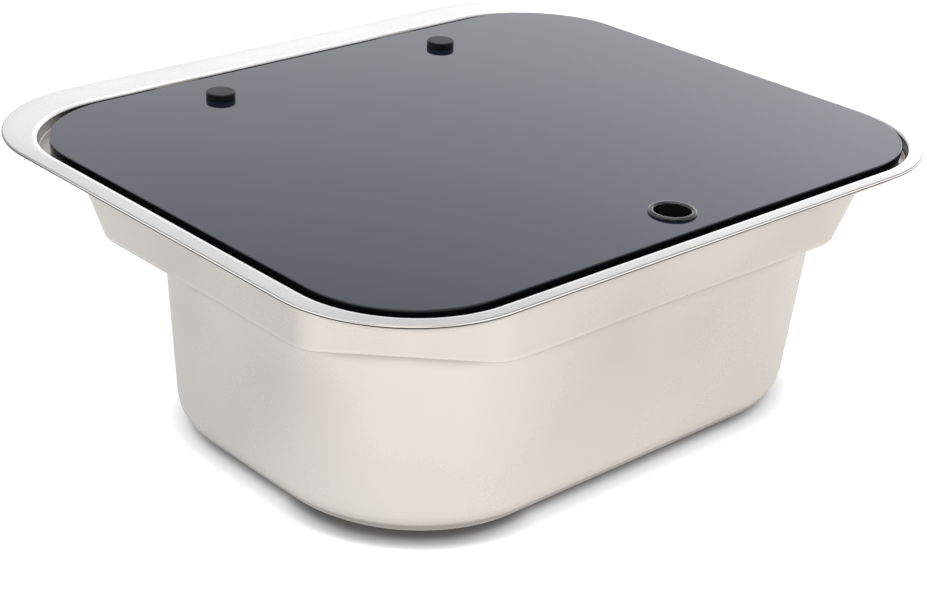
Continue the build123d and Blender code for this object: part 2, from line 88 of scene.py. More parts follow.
# ------------------------------------------------------------------ outlines
CORNER_CUTS = (0.0, 25.0, 65.0, 90.0)
STEPS = (7, 9, 7, 26)


def columns():
    """The stations round the sink: part of the outline and how far along it."""
    return [(part, step / STEPS[part % 4]) for part in range(16) for step in range(STEPS[part % 4])]


def rounded_at(box, radius, part, share):
    """Point of a rounded rectangle at one station."""
    x0, x1, y0, y1 = box
    centres = ((x1 - radius, y1 - radius), (x0 + radius, y1 - radius),
               (x0 + radius, y0 + radius), (x1 - radius, y0 + radius))
    quarter, piece = divmod(part, 4)

    def arc(number, angle):
        turn = math.radians(90.0 * number + angle)
        return Vector((centres[number % 4][0] + radius * math.cos(turn),
                       centres[number % 4][1] + radius * math.sin(turn)))

    if piece == 3:
        return arc(quarter, 90.0).lerp(arc(quarter + 1, 0.0), share)
    low, high = CORNER_CUTS[piece:piece + 2]
    return arc(quarter, low + (high - low) * share)


def octagon_arcs(box, cuts, radius):
    """Centre, start and sweep of the eight rounded corners of the tray's foot."""
    x0, x1, y0, y1 = box
    cx, cy = cuts
    points = [Vector(p) for p in (
        (x1, y1 - cy), (x1 - cx, y1), (x0 + cx, y1), (x0, y1 - cy),
        (x0, y0 + cy), (x0 + cx, y0), (x1 - cx, y0), (x1, y0 + cy))]
    arcs = []
    for place, point in enumerate(points):
        back = (points[place - 1] - point).normalized()
        ahead = (points[(place + 1) % 8] - point).normalized()
        half = back.angle(ahead) / 2
        centre = point + (back + ahead).normalized() * (radius / math.sin(half))
        start = point + back * (radius / math.tan(half)) - centre
        arcs.append((centre, math.atan2(start.y, start.x), math.pi - 2 * half))
    return arcs


def octagon_at(arcs, radius, part, share):
    """Point of the tray's cut-cornered outline at one station."""
    quarter, piece = divmod(part, 4)

    def arc(number, along):
        centre, start, sweep = arcs[number % 8]
        turn = start + sweep * along
        return centre + Vector((math.cos(turn), math.sin(turn))) * radius

    if piece == 0:
        return arc(2 * quarter, share)
    if piece == 1:
        return arc(2 * quarter, 1.0).lerp(arc(2 * quarter + 1, 0.0), share)
    if piece == 2:
        return arc(2 * quarter + 1, share)
    return arc(2 * quarter + 1, 1.0).lerp(arc(2 * quarter + 2, 0.0), share)


def inset(box, distance):
    """The same outline, moved in on all sides."""
    return (box[0] + distance, box[1] - distance, box[2] + distance, box[3] - distance)


def shift(lean):
    """Inset of a leaning wall's inner skin, taken one sheet above the outer skin's height."""
    turn = math.radians(lean)
    return SHEET * (1 / math.cos(turn) - math.tan(turn))


# ------------------------------------------------------------------ meshes
def make_object(name, vertices, faces):
    """Smooth object from points in millimetres, its faces turned outwards."""
    mesh = bpy.data.meshes.new(name)
    mesh.from_pydata([tuple(Vector(v) * MM) for v in vertices], [], faces)
    mesh.update()
    work = bmesh.new()
    work.from_mesh(mesh)
    bmesh.ops.recalc_face_normals(work, faces=work.faces)
    work.to_mesh(mesh)
    work.free()
    for face in mesh.polygons:
        face.use_smooth = True
    thing = bpy.data.objects.new(name, mesh)
    bpy.context.scene.collection.objects.link(thing)
    return thing


def apply_all(thing):
    """Turn the modifiers of a piece into its mesh."""
    ready = thing.evaluated_get(bpy.context.evaluated_depsgraph_get())
    mesh = bpy.data.meshes.new_from_object(ready)
    thing.modifiers.clear()
    thing.data = mesh


def joined(thing):
    """Join points that lie on one another."""
    work = bmesh.new()
    work.from_mesh(thing.data)
    bmesh.ops.remove_doubles(work, verts=work.verts, dist=1e-7)
    bmesh.ops.recalc_face_normals(work, faces=work.faces)
    work.to_mesh(thing.data)
    work.free()


def weighted(thing, angle=35.0):
    """Smooth shading that leaves the flat faces flat and the sharp edges sharp."""
    thing.data.set_sharp_from_angle(angle=math.radians(angle))
    even = thing.modifiers.new("even", "WEIGHTED_NORMAL")
    even.keep_sharp = True
    even.weight = 60


def closed_grid(rows):
    """Faces of a net of rings, closed round and from the last ring to the first."""
    count = len(rows[0])
    vertices = [p for row in rows for p in row]
    faces = []
    for r in range(len(rows)):
        low, high = r * count, (r + 1) % len(rows) * count
        for k in range(count):
            nxt = (k + 1) % count
            faces.append((low + k, low + nxt, high + nxt, high + k))
    return vertices, faces


def softened(points, radii, spans, steps=6):
    """Line through corner points, each rounded by its radius, long runs divided."""
    line = []
    count = len(points)
    ends = []
    for i, point in enumerate(points):
        if i in (0, count - 1) or radii[i] == 0:
            ends.append([point])
            continue
        back = (points[i - 1] - point).normalized()
        ahead = (points[i + 1] - point).normalized()
        half = back.angle(ahead) / 2
        if math.pi / 2 - half < 0.01:
            ends.append([point] * (steps + 1))
            continue
        bisector = (back + ahead).normalized()
        centre = point + bisector * (radii[i] / math.sin(half))
        start = point + back * (radii[i] / math.tan(half)) - centre
        finish = point + ahead * (radii[i] / math.tan(half)) - centre
        sweep = start.angle(finish)
        axis = start.cross(finish)
        ends.append([centre + Matrix.Rotation(sweep * s / steps, 3, axis) @ start
                     for s in range(steps + 1)])
    for i, arc in enumerate(ends):
        line += arc
        if i + 1 < count and spans[i] > 1:
            nxt = ends[i + 1][0]
            line += [arc[-1].lerp(nxt, s / spans[i]) for s in range(1, spans[i])]
    return line


def lathe(name, profile, centre, turns=96):
    """Turned piece from closed (radius, height) points."""
    rows = []
    for k in range(turns):
        turn = 2 * math.pi * k / turns
        ring = []
        for radius, height in profile:
            ring.append(Vector((radius * math.cos(turn), radius * math.sin(turn), height))
                        + Vector(centre))
        rows.append(ring)
    vertices, faces = closed_grid(rows)
    thing = make_object(name, vertices, faces)
    joined(thing)
    return thing


def rounded_profile(corners, steps=5):
    """Closed (radius, height) outline with rounded corners from (r, z, round) points."""
    count = len(corners)
    out = []
    for i, (r, z, soft) in enumerate(corners):
        point = Vector((r, z, 0))
        if soft == 0:
            out.append((r, z))
            continue
        back = (Vector((*corners[i - 1][:2], 0)) - point).normalized()
        ahead = (Vector((*corners[(i + 1) % count][:2], 0)) - point).normalized()
        half = back.angle(ahead) / 2
        centre = point + (back + ahead).normalized() * (soft / math.sin(half))
        start = point + back * (soft / math.tan(half)) - centre
        finish = point + ahead * (soft / math.tan(half)) - centre
        sweep, turn = start.angle(finish), start.cross(finish)
        for s in range(steps + 1):
            p = centre + Matrix.Rotation(sweep * s / steps, 3, turn) @ start
            out.append((p.x, p.y))
    return out


def cut_holes(thing, holes):
    """Bore round holes: (centre, direction, radius, length) each, in millimetres."""
    for centre, direction, radius, length in holes:
        work = bmesh.new()
        bmesh.ops.create_cone(work, cap_ends=True, segments=72, radius1=radius * MM,
                              radius2=radius * MM, depth=length * MM)
        mesh = bpy.data.meshes.new("drill")
        work.to_mesh(mesh)
        work.free()
        drill = bpy.data.objects.new("drill", mesh)
        bpy.context.scene.collection.objects.link(drill)
        turn = Vector(direction).to_track_quat("Z", "Y").to_matrix().to_4x4()
        mesh.transform(Matrix.Translation(Vector(centre) * MM) @ turn)
        bore = thing.modifiers.new("bore", "BOOLEAN")
        bore.operation = "DIFFERENCE"
        bore.solver = "EXACT"
        bore.object = drill
        apply_all(thing)
        bpy.data.objects.remove(drill)


# ------------------------------------------------------------------ pressed sink
def pressed_sink():
    """The whole pressing as one closed skin, inside and outside of the sheet."""
    in_shift = shift(WALL_LEAN)
    slant = math.hypot(*TRAY_CUT)
    in_cuts = (TRAY_CUT[0] + in_shift * ((slant - TRAY_CUT[0]) / TRAY_CUT[1] - 1),
               TRAY_CUT[1] + in_shift * ((slant - TRAY_CUT[1]) / TRAY_CUT[0] - 1))
    skins = ((0.0, TRAY_CUT), (in_shift, in_cuts))
    walls = {(box, skin): octagon_arcs(inset(box, back), cuts, TRAY_VERTEX_R - back)
             for box in (TRAY_TOP, TRAY_FOOT) for skin, (back, cuts) in enumerate(skins)}
    bowl_shift = shift(BOWL_DRAFT)
    mouth_out, rim_in = inset(MOUTH, -SHEET), inset(RIM, SHEET)
    lines = []
    for part, share in columns():
        def at(box, radius, height):
            p = rounded_at(box, radius, part, share)
            return Vector((p.x, p.y, height))

        def wall(box, skin, height):
            p = octagon_at(walls[box, skin], TRAY_VERTEX_R - skins[skin][0], part, share)
            return Vector((p.x, p.y, height + SHEET * skin))

        def drain(height):
            p = rounded_at(BOWL_FLOOR, BOWL_FLOOR_R, part, share)
            away = Vector((p.x - DRAIN[0], p.y - DRAIN[1])).normalized() * DRAIN_R
            return Vector((DRAIN[0] + away.x, DRAIN[1] + away.y, height))

        corners = (
            # corner point, radius of its bend, parts of the run to the next corner
            (drain(SHEET), 0, 6),
            (at(inset(BOWL_FLOOR, bowl_shift), BOWL_FLOOR_R - bowl_shift, SHEET),
             BOWL_FILLET - SHEET, 8),
            (at(inset(BOWL_TOP, bowl_shift), BOWL_TOP_R - bowl_shift, LEDGE_UNDER + SHEET), 3.2, 2),
            (wall(TRAY_FOOT, 1, LEDGE_UNDER), 1.5, 5),
            (wall(TRAY_TOP, 1, STEP_UNDER), 2.0, 1),
            (at(MOUTH, MOUTH_R, STEP_UNDER + SHEET), 1.0, 1),
            (at(MOUTH, MOUTH_R, RIM_TOP), MOUTH_ROLL_R, 3),
            (at(RIM, RIM_R, RIM_TOP - RIM_FALL), 0.8, 1),
            (at(RIM, RIM_R, RIM_TOP - RIM_LIP), 0.3, 1),
            (at(rim_in, RIM_R - SHEET, RIM_TOP - RIM_LIP), 0.3, 1),
            (at(rim_in, RIM_R - SHEET, RIM_TOP - RIM_FALL - SHEET), 0.3, 3),
            (at(mouth_out, MOUTH_R + SHEET, RIM_TOP - SHEET), 1.0, 1),
            (at(mouth_out, MOUTH_R + SHEET, STEP_UNDER), 2.0, 1),
            (wall(TRAY_TOP, 0, STEP_UNDER), 1.0, 5),
            (wall(TRAY_FOOT, 0, LEDGE_UNDER), 2.5, 2),
            (at(BOWL_TOP, BOWL_TOP_R, LEDGE_UNDER), 2.2, 8),
            (at(BOWL_FLOOR, BOWL_FLOOR_R, 0.0), BOWL_FILLET, 6),
            (drain(0.0), 0, 1))
        lines.append(softened(*zip(*corners)))
    rows = [[line[r] for line in lines] for r in range(len(lines[0]))]
    vertices, faces = closed_grid(rows)
    sink = make_object("pressed_sink", vertices, faces)
    turn = math.radians(WALL_LEAN)
    slope = Vector((0, math.sin(turn), math.cos(turn)))
    out = Vector((0, -math.cos(turn), math.sin(turn)))
    holes = [((TAP[0], TAP[1], LEDGE_UNDER), (0, 0, 1), TAP_R, THROUGH_SHEET)]
    for side in (-1, 1):
        top = Vector((side * HINGE_X, TRAY_TOP[3] - in_shift, STEP_UNDER + SHEET))
        holes += [(top - slope * down, out, SCREW_HOLE_R, THROUGH_SHEET)
                  for down in SCREWS_DOWN]
    cut_holes(sink, holes)
    return sink


def glass_lid():
    """Toughened glass with a ground pencil edge and its three drilled holes."""
    profile = [(0.5, GLASS_TOP), (0.24, GLASS_TOP - 0.07), (0.07, GLASS_TOP - 0.24),
               (0.0, GLASS_TOP - 0.5), (0.0, GLASS_BOTTOM + 0.5), (0.07, GLASS_BOTTOM + 0.24),
               (0.24, GLASS_BOTTOM + 0.07), (0.5, GLASS_BOTTOM)]
    stations = [(part, step / 12) for part in range(16) if part % 4 != 3 for step in range(13)]
    count = len(stations)
    vertices, faces = [], []
    for back, height in profile:
        for part, share in stations:
            p = rounded_at(inset(GLASS, back), GLASS_R - back, part, share)
            vertices.append((p.x, p.y, height))
    for r in range(len(profile) - 1):
        for k in range(count):
            nxt = (k + 1) % count
            low, high = r * count, (r + 1) * count
            faces.append((low + k, low + nxt, high + nxt, high + k))
    faces.append(tuple(range(count)))
    faces.append(tuple(range((len(profile) - 1) * count, len(profile) * count)))
    lid = make_object("glass_lid", vertices, faces)
    joined(lid)
    middle = (GLASS_TOP + GLASS_BOTTOM) / 2
    cut_holes(lid, [((-HINGE_X, BOLT_Y, middle), (0, 0, 1), BOLT_HOLE_R, THROUGH_GLASS),
                    ((HINGE_X, BOLT_Y, middle), (0, 0, 1), BOLT_HOLE_R, THROUGH_GLASS),
                    ((0, FINGER_Y, middle), (0, 0, 1), FINGER_HOLE_R, THROUGH_GLASS)])
    return lid


# ------------------------------------------------------------------ shader groups
def new_group(name, inputs, outputs):
    """Empty shader group with named sockets; returns it with its two end nodes."""
    group = bpy.data.node_groups.new(name, "ShaderNodeTree")
    for title, kind, value in inputs:
        socket = group.interface.new_socket(title, in_out="INPUT", socket_type=kind)
        if value is not None:
            socket.default_value = value
    for title, kind in outputs:
        group.interface.new_socket(title, in_out="OUTPUT", socket_type=kind)
    return group, group.nodes.new("NodeGroupInput"), group.nodes.new("NodeGroupOutput")


def put(links, value, socket):
    """Set a socket to a constant, or link another node's output to it."""
    if isinstance(value, (int, float, tuple)):
        socket.default_value = value
    else:
        links.new(value, socket)


def stretched(nodes, links, where, scale, place=(0, 0, 0)):
    """Coordinates scaled along each axis and moved."""
    mapping = nodes.new("ShaderNodeMapping")
    mapping.inputs["Scale"].default_value = scale
    mapping.inputs["Location"].default_value = place
    links.new(where, mapping.inputs["Vector"])
    return mapping.outputs["Vector"]


def noise(nodes, links, where, scale, detail, rough=0.5, stretch=(1, 1, 1), place=(0, 0, 0)):
    """Noise read at object coordinates, stretched along an axis."""
    texture = nodes.new("ShaderNodeTexNoise")
    put(links, scale, texture.inputs["Scale"])
    texture.inputs["Detail"].default_value = detail
    texture.inputs["Roughness"].default_value = rough
    links.new(stretched(nodes, links, where, stretch, place), texture.inputs["Vector"])
    return texture.outputs["Fac"]


def maths(nodes, links, operation, a, b, clamp=False):
    """One calculation with two numbers."""
    node = nodes.new("ShaderNodeMath")
    node.operation = operation
    node.use_clamp = clamp
    put(links, a, node.inputs[0])
    put(links, b, node.inputs[1])
    return node.outputs["Value"]


def vector_maths(nodes, links, operation, *terms, output="Vector"):
    """One calculation with vectors."""
    node = nodes.new("ShaderNodeVectorMath")
    node.operation = operation
    for term, socket in zip(terms, node.inputs):
        put(links, term, socket)
    return node.outputs[output]


def ranged(nodes, links, value, low, high, out_low, out_high):
    """Number that goes from out_low to out_high while value goes from low to high."""
    node = nodes.new("ShaderNodeMapRange")
    node.inputs["From Min"].default_value = low
    node.inputs["From Max"].default_value = high
    node.inputs["To Min"].default_value = out_low
    node.inputs["To Max"].default_value = out_high
    links.new(value, node.inputs["Value"])
    return node.outputs["Result"]


def mixed(nodes, links, factor, a, b):
    """Colour between two colours by a mask."""
    node = nodes.new("ShaderNodeMix")
    node.data_type = "RGBA"
    links.new(factor, node.inputs["Factor"])
    put(links, a, node.inputs["A"])
    put(links, b, node.inputs["B"])
    return node.outputs["Result"]


def brushed_group():
    """Brush lines along X or Y, as a height and as a mask."""
    group, start, end = new_group("brush_lines", [
        ("Vector", "NodeSocketVector", None), ("Fineness", "NodeSocketFloat", 900.0)],
        [("Height", "NodeSocketFloat"), ("Mask", "NodeSocketFloat")])
    nodes, links = group.nodes, group.links
    fine = noise(nodes, links, start.outputs["Vector"], start.outputs["Fineness"], 3.0, 0.6)
    coarse = noise(nodes, links, start.outputs["Vector"], 0.35, 2.0, 0.5, place=(3, 7, 1))
    height = maths(nodes, links, "ADD", maths(nodes, links, "MULTIPLY", fine, 0.6),
                   maths(nodes, links, "MULTIPLY", coarse, 0.4))
    links.new(height, end.inputs["Height"])
    links.new(ranged(nodes, links, height, 0.35, 0.65, 0.0, 1.0), end.inputs["Mask"])
    return group


def cloud_group():
    """Slow patches of a pressed sheet: polish, tint and a faint unevenness."""
    group, start, end = new_group("press_clouds", [
        ("Vector", "NodeSocketVector", None), ("Size", "NodeSocketFloat", 9.0)],
        [("Patch", "NodeSocketFloat"), ("Streak", "NodeSocketFloat"),
         ("Height", "NodeSocketFloat")])
    nodes, links = group.nodes, group.links
    vector = start.outputs["Vector"]
    patch = noise(nodes, links, vector, start.outputs["Size"], 1.0, 0.45)
    streak = noise(nodes, links, vector, 14.0, 2.0, 0.5, stretch=(1, 1, 0.25), place=(2, 5, 0))
    height = noise(nodes, links, vector, 22.0, 2.0, 0.5, place=(9, 1, 4))
    links.new(ranged(nodes, links, patch, 0.38, 0.62, 0.0, 1.0), end.inputs["Patch"])
    links.new(ranged(nodes, links, streak, 0.35, 0.65, 0.0, 1.0), end.inputs["Streak"])
    links.new(height, end.inputs["Height"])
    return group


def dust_group():
    """Sparse specks and faint smears of handling."""
    group, start, end = new_group("handling", [
        ("Vector", "NodeSocketVector", None), ("Specks", "NodeSocketFloat", 700.0)],
        [("Speck", "NodeSocketFloat"), ("Smear", "NodeSocketFloat")])
    nodes, links = group.nodes, group.links
    vector = start.outputs["Vector"]
    cells = nodes.new("ShaderNodeTexVoronoi")
    cells.feature = "F1"
    links.new(vector, cells.inputs["Vector"])
    links.new(start.outputs["Specks"], cells.inputs["Scale"])
    near = ranged(nodes, links, cells.outputs["Distance"], 0.03, 0.09, 1.0, 0.0)
    sparse = ranged(nodes, links, noise(nodes, links, vector, 160.0, 1.0), 0.62, 0.70, 0.0, 1.0)
    links.new(maths(nodes, links, "MULTIPLY", near, sparse, True), end.inputs["Speck"])
    smear = noise(nodes, links, vector, 18.0, 5.0, 0.65, stretch=(1, 0.4, 1))
    links.new(ranged(nodes, links, smear, 0.45, 0.7, 0.0, 1.0), end.inputs["Smear"])
    return group


BRUSH = brushed_group()
CLOUDS = cloud_group()
HANDLING = dust_group()


def new_material(name):
    """Material with a Principled shader; returns what is needed to build on it."""
    material = bpy.data.materials.new(name)
    material.use_nodes = True
    nodes, links = material.node_tree.nodes, material.node_tree.links
    nodes.clear()
    shader = nodes.new("ShaderNodeBsdfPrincipled")
    output = nodes.new("ShaderNodeOutputMaterial")
    links.new(shader.outputs["BSDF"], output.inputs["Surface"])
    where = nodes.new("ShaderNodeTexCoord").outputs["Object"]
    return material, nodes, links, shader, where


def use_group(nodes, links, group, where, **values):
    """Place a shader group with its own values; returns its outputs."""
    node = nodes.new("ShaderNodeGroup")
    node.node_tree = group
    links.new(where, node.inputs["Vector"])
    for title, value in values.items():
        node.inputs[title].default_value = value
    return node.outputs


def bump(nodes, links, shader, height, strength, distance):
    """Let a height act on the shader's normal."""
    node = nodes.new("ShaderNodeBump")
    node.inputs["Strength"].default_value = strength
    node.inputs["Distance"].default_value = distance
    links.new(height, node.inputs["Height"])
    links.new(node.outputs["Normal"], shader.inputs["Normal"])


def from_corner_centres(nodes, links, where, box, radius):
    """Distance out from the corner centres of a rounded rectangle, in metres.

    On the outline itself it is the corner radius, beside the straight runs too.
    """
    x0, x1, y0, y1 = (v * MM for v in box)
    middle = (-(x0 + x1) / 2, -(y0 + y1) / 2, 0)
    half = ((x1 - x0) / 2 - radius * MM, (y1 - y0) / 2 - radius * MM, 0)
    flat = vector_maths(nodes, links, "MULTIPLY_ADD", where, (1, 1, 0), middle)
    side = vector_maths(nodes, links, "ABSOLUTE", flat)
    past = vector_maths(nodes, links, "SUBTRACT", side, half)
    outside = vector_maths(nodes, links, "MAXIMUM", past)
    return vector_maths(nodes, links, "LENGTH", outside, output="Value")


def pressed_steel():
    """Bright pressed stainless: satin rim, cloudy walls, painted highlights on the bends, painted
    shade in the creases, under the lip and round the mouth.
    """
    material, nodes, links, shader, where = new_material("pressed_steel")
    clouds = use_group(nodes, links, CLOUDS, where, Size=11.0)
    brush = use_group(nodes, links, BRUSH, stretched(nodes, links, where, (0.05, 1, 1)),
                      Fineness=1400.0)
    split = nodes.new("ShaderNodeSeparateXYZ")
    links.new(where, split.inputs["Vector"])
    depth, height = split.outputs["Y"], split.outputs["Z"]
    reach = from_corner_centres(nodes, links, where, RIM, RIM_R)
    past_mouth = from_corner_centres(nodes, links, where, MOUTH, MOUTH_R)

    def band(value, start, end, at_start, at_end):
        """Mask that changes between two places, given in millimetres."""
        return ranged(nodes, links, value, start * MM, end * MM, at_start, at_end)

    def times(*masks):
        """Product of masks and numbers."""
        product = masks[0]
        for mask in masks[1:]:
            product = maths(nodes, links, "MULTIPLY", product, mask)
        return product

    on_rim = band(height, RIM_TOP - 1.4, RIM_TOP - 0.7, 0.0, 1.0)
    on_lip = band(reach, RIM_R - 2.2, RIM_R - 1.6, 0.0, 1.0)
    # painted shade: the rim's flat darkens towards its outside
    painted_rim_shade = times(band(reach, RIM_R - 9.0, RIM_R - 1.2, 0.0, 0.38), on_rim)
    # painted highlight on the roll round the mouth
    painted_roll_highlight = times(band(height, RIM_TOP - 1.8, RIM_TOP - 0.9, 0.0, 1.0),
                 band(past_mouth, MOUTH_R + 2.4, MOUTH_R + 2.9, 1.0, 0.0))
    # painted shade on the mouth's wall between the roll and the step
    painted_throat_shade = times(band(height, STEP_UNDER + 1.1, STEP_UNDER + 1.9, 0.0, 0.8),
                   band(past_mouth, MOUTH_R + 0.3, MOUTH_R + 0.7, 1.0, 0.0),
                   band(height, RIM_TOP - 1.9, RIM_TOP - 1.0, 1.0, 0.0))
    # painted highlight: light line at the foot of the upper wall
    foot = times(band(height, LEDGE_UNDER + 0.3, LEDGE_UNDER + 0.9, 0.0, 0.25),
                 band(height, LEDGE_UNDER + 1.9, LEDGE_UNDER + 3.3, 1.0, 0.0))
    # painted light: the bowl's walls are paler towards its floor
    low = band(height, 20.0, 85.0, 0.8, 0.0)
    # painted highlight on the lip that turns down
    painted_lip_highlight = times(on_lip, band(height, RIM_TOP - 0.9, RIM_TOP - RIM_FALL, 1.0, 0.0))
    # painted shade on the lip at the back
    painted_far_lip_shade = times(painted_lip_highlight, band(depth, 30.0, 130.0, 0.0, 0.9))
    # painted shade: thin dark line along the rim's bend
    painted_bend_shade = times(band(height, RIM_TOP - 1.0, RIM_TOP - 0.85, 0.0, 1.0),
                 band(reach, RIM_R - 0.9, RIM_R - 0.5, 0.0, 0.7))
    # painted shadow: dark line on the lower part of the lip
    painted_lip_shadow = times(on_lip, band(height, RIM_TOP - 1.6, RIM_TOP - 1.3, 1.0, 0.0))
    # painted shade: ambient occlusion darkens the colour in creases and hidden corners
    crevice = nodes.new("ShaderNodeAmbientOcclusion")
    crevice.inputs["Distance"].default_value = 12.0 * MM
    painted_crease_shade = ranged(nodes, links, crevice.outputs["AO"], 0.74, 0.91, 0.95, 0.0)
    grain = ranged(nodes, links, noise(nodes, links, where, 1700.0, 2.0, 0.6), 0.38, 0.62, 0.0, 1.0)

    satin = mixed(nodes, links, grain, (0.765, 0.76, 0.745, 1), (0.655, 0.65, 0.635, 1))
    base = mixed(nodes, links, clouds["Patch"], (0.685, 0.66, 0.635, 1), (0.745, 0.725, 0.705, 1))
    for mask, colour in (
            (times(clouds["Streak"], 0.35), (0.61, 0.59, 0.57, 1)),  # drawn streaks
            (low, (0.755, 0.752, 0.74, 1)),        # painted light: paler towards the bowl's floor
            (foot, (0.86, 0.845, 0.82, 1)),        # painted highlight: light line at the foot of the upper wall
            (on_rim, satin),                       # flat of the rim
            (painted_rim_shade, (0.58, 0.57, 0.55, 1)),        # painted shade: darker towards the rim's outside
            (painted_roll_highlight, (0.93, 0.93, 0.92, 1)),         # painted highlight on the roll round the mouth
            (painted_throat_shade, (0.30, 0.29, 0.28, 1)),       # painted shade on the wall between the roll and the step
            (painted_crease_shade, (0.38, 0.36, 0.345, 1)),      # painted shade in creases and hidden corners
            (painted_lip_highlight, (0.93, 0.92, 0.90, 1)),          # painted highlight on the lip that turns down
            (painted_far_lip_shade, (0.06, 0.06, 0.06, 1)),      # painted shade: the same lip at the back, darkened
            (painted_bend_shade, (0.16, 0.16, 0.15, 1)),         # painted shade: thin dark line along the bend
            (painted_lip_shadow, (0.03, 0.03, 0.03, 1))):    # painted shadow: dark line on the lower part of the lip
        base = mixed(nodes, links, mask, base, colour)
    links.new(base, shader.inputs["Base Color"])
    shader.inputs["Metallic"].default_value = 1.0
    rough = maths(nodes, links, "ADD", ranged(nodes, links, clouds["Patch"], 0.0, 1.0, 0.30, 0.23),
                  times(brush["Mask"], 0.03))
    links.new(rough, shader.inputs["Roughness"])
    relief = maths(nodes, links, "ADD", clouds["Height"],
                   times(brush["Height"], on_rim, 0.03))
    bump(nodes, links, shader, relief, 0.25, 0.0012)
    return material


def black_glass():
    """Black toughened glass: polished face, darker ground edge, faint smears."""
    material, nodes, links, shader, where = new_material("black_glass")
    marks = use_group(nodes, links, HANDLING, where, Specks=650.0)
    split = nodes.new("ShaderNodeSeparateXYZ")
    links.new(where, split.inputs["Vector"])
    face = ranged(nodes, links, split.outputs["Z"], (GLASS_TOP - 0.12) * MM,
                  (GLASS_TOP - 0.03) * MM, 0.0, 1.0)
    base = mixed(nodes, links, face, (0.004, 0.004, 0.005, 1), (0.007, 0.009, 0.020, 1))
    base = mixed(nodes, links, marks["Speck"], base, (0.06, 0.06, 0.065, 1))
    links.new(base, shader.inputs["Base Color"])
    rough = ranged(nodes, links, marks["Smear"], 0.0, 1.0, 0.035, 0.075)
    links.new(rough, shader.inputs["Roughness"])
    shader.inputs["IOR"].default_value = 1.54
    shader.inputs["Specular Tint"].default_value = (0.80, 0.85, 1.0, 1)
    return material


def moulded(name, colour, lighter, rough_low, rough_high, grain, depth, shine=0.5):
    """Moulded rubber or plastic with a fine grain and faint wear."""
    material, nodes, links, shader, where = new_material(name)
    marks = use_group(nodes, links, HANDLING, where, Specks=900.0)
    texture = noise(nodes, links, where, grain, 5.0, 0.6)
    base = mixed(nodes, links, marks["Smear"], colour, lighter)
    links.new(base, shader.inputs["Base Color"])
    links.new(ranged(nodes, links, texture, 0.3, 0.7, rough_low, rough_high),
              shader.inputs["Roughness"])
    bump(nodes, links, shader, texture, 0.3, depth)
    shader.inputs["Specular IOR Level"].default_value = shine
    return material


def turned_metal(name, colour, darker, rough_low, rough_high, direction):
    """Small steel hardware with tool lines and slight tarnish."""
    material, nodes, links, shader, where = new_material(name)
    brush = use_group(nodes, links, BRUSH, stretched(nodes, links, where, direction),
                      Fineness=2500.0)
    clouds = use_group(nodes, links, CLOUDS, where, Size=60.0)
    links.new(mixed(nodes, links, clouds["Patch"], darker, colour), shader.inputs["Base Color"])
    shader.inputs["Metallic"].default_value = 1.0
    links.new(ranged(nodes, links, brush["Mask"], 0.0, 1.0, rough_low, rough_high),
              shader.inputs["Roughness"])
    bump(nodes, links, shader, brush["Height"], 0.15, 0.0001)
    return material


STEEL = pressed_steel()
GLASS_BLACK = black_glass()
RUBBER = moulded("black_rubber", (0.012, 0.012, 0.012, 1), (0.022, 0.022, 0.022, 1),
                 0.30, 0.45, 1500.0, 0.00008)
GLOSS_RUBBER = moulded("grommet_rubber", (0.009, 0.009, 0.010, 1), (0.014, 0.014, 0.015, 1),
                       0.14, 0.24, 900.0, 0.00003)
CAP_PLASTIC = moulded("cap_plastic", (0.003, 0.003, 0.004, 1), (0.005, 0.005, 0.007, 1),
                      0.40, 0.52, 1800.0, 0.00005, 0.23)
NYLON = moulded("nylon", (0.70, 0.68, 0.62, 1), (0.62, 0.60, 0.55, 1), 0.35, 0.5, 900.0, 0.00004)
HINGE_STEEL = turned_metal("hinge_steel", (0.62, 0.61, 0.60, 1), (0.52, 0.51, 0.50, 1),
                           0.25, 0.38, (0.05, 1, 1))
ZINC = turned_metal("zinc_steel", (0.66, 0.67, 0.69, 1), (0.54, 0.55, 0.57, 1),
                    0.18, 0.32, (1, 1, 0.05))


def dress(thing, material, body):
    """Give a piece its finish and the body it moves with."""
    thing.data.materials.clear()
    thing.data.materials.append(material)
    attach(thing, body)
    return thing


# ------------------------------------------------------------------ sink and lid
sink = pressed_sink()
weighted(sink, 40.0)
dress(sink, STEEL, "sink")
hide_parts("sink_body")

lid = glass_lid()
weighted(lid, 25.0)
dress(lid, GLASS_BLACK, "lid")
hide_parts("lid_glass")

grommet = lathe("finger_grommet", rounded_profile([
    (GROMMET_BORE_R, GLASS_BOTTOM - 2.0, 0.8), (GROMMET_R - 0.2, GLASS_BOTTOM - 2.0, 0.9),
    (GROMMET_R, GLASS_BOTTOM - 0.1, 0.25), (FINGER_HOLE_R - 0.1, GLASS_BOTTOM - 0.1, 0),
    (FINGER_HOLE_R - 0.1, GLASS_TOP + 0.1, 0), (GROMMET_R, GLASS_TOP + 0.1, 0.15),
    (GROMMET_R - 0.05, GLASS_TOP + 1.6, 1.2), (GROMMET_BORE_R, GLASS_TOP + 1.6, 1.2)], 8),
    (0, FINGER_Y, 0), 128)
weighted(grommet)
dress(grommet, GLOSS_RUBBER, "lid")
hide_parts("pull_grommet")

